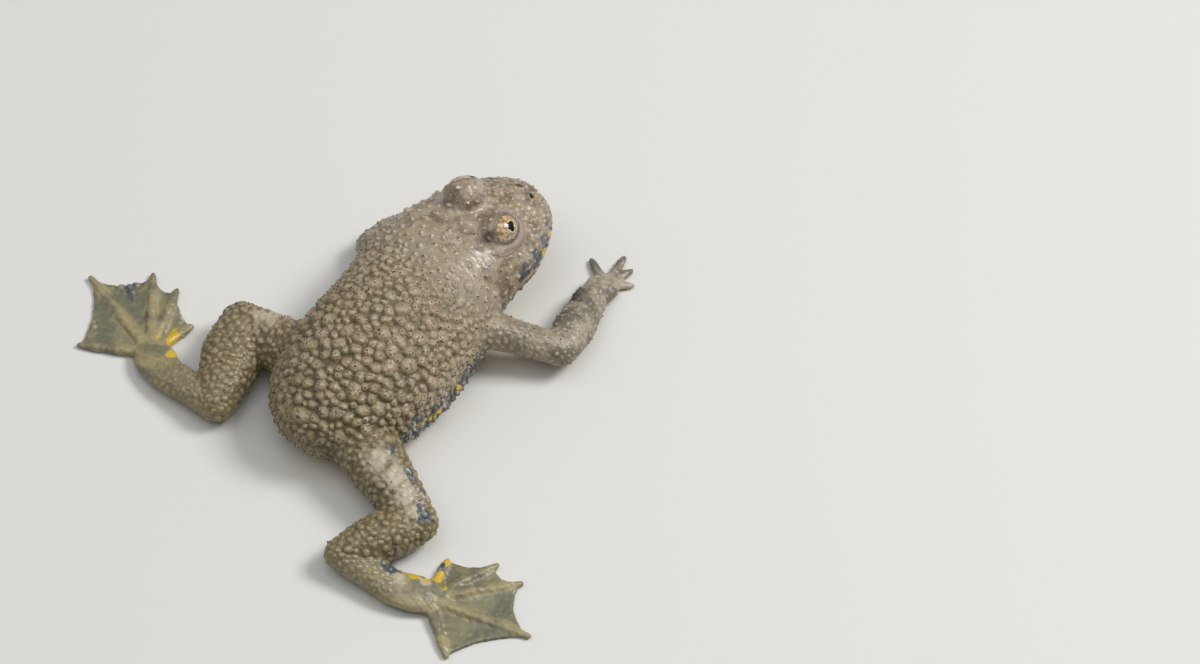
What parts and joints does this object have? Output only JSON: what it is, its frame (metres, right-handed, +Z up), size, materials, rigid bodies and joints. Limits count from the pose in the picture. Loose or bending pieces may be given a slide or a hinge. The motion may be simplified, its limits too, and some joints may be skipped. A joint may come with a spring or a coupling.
{
  "type": "fire bellied toad",
  "caption": "Still, life-size warty toad lying on its belly, hind legs folded outward with webbed feet, an arm reaching forward and the head slightly turned.",
  "frame": {"origin": "on the floor, on the flat of the belly, under the middle of the trunk", "axes": "+Z up, the toad faces -Y, and its left side is towards +X"},
  "size_m": [0.076, 0.0598, 0.0159],
  "materials": {
    "skin": "wet warty skin, grey-brown above with yellow-orange and slate blotches below",
    "eye": "wet eyeball with a mottled gold iris and a black pupil"
  },
  "bodies": {
    "root": {"torso": "skin", "head": "skin", "eye_left": "eye", "eye_right": "eye", "upper_arm_left": "skin", "upper_arm_right": "skin", "forearm_left": "skin", "forearm_right": "skin", "hand_left": "skin", "hand_right": "skin", "thigh_left": "skin", "thigh_right": "skin", "shank_left": "skin", "shank_right": "skin", "tarsus_left": "skin", "tarsus_right": "skin", "foot_left": "skin", "foot_right": "skin"}
  },
  "joints": []
}
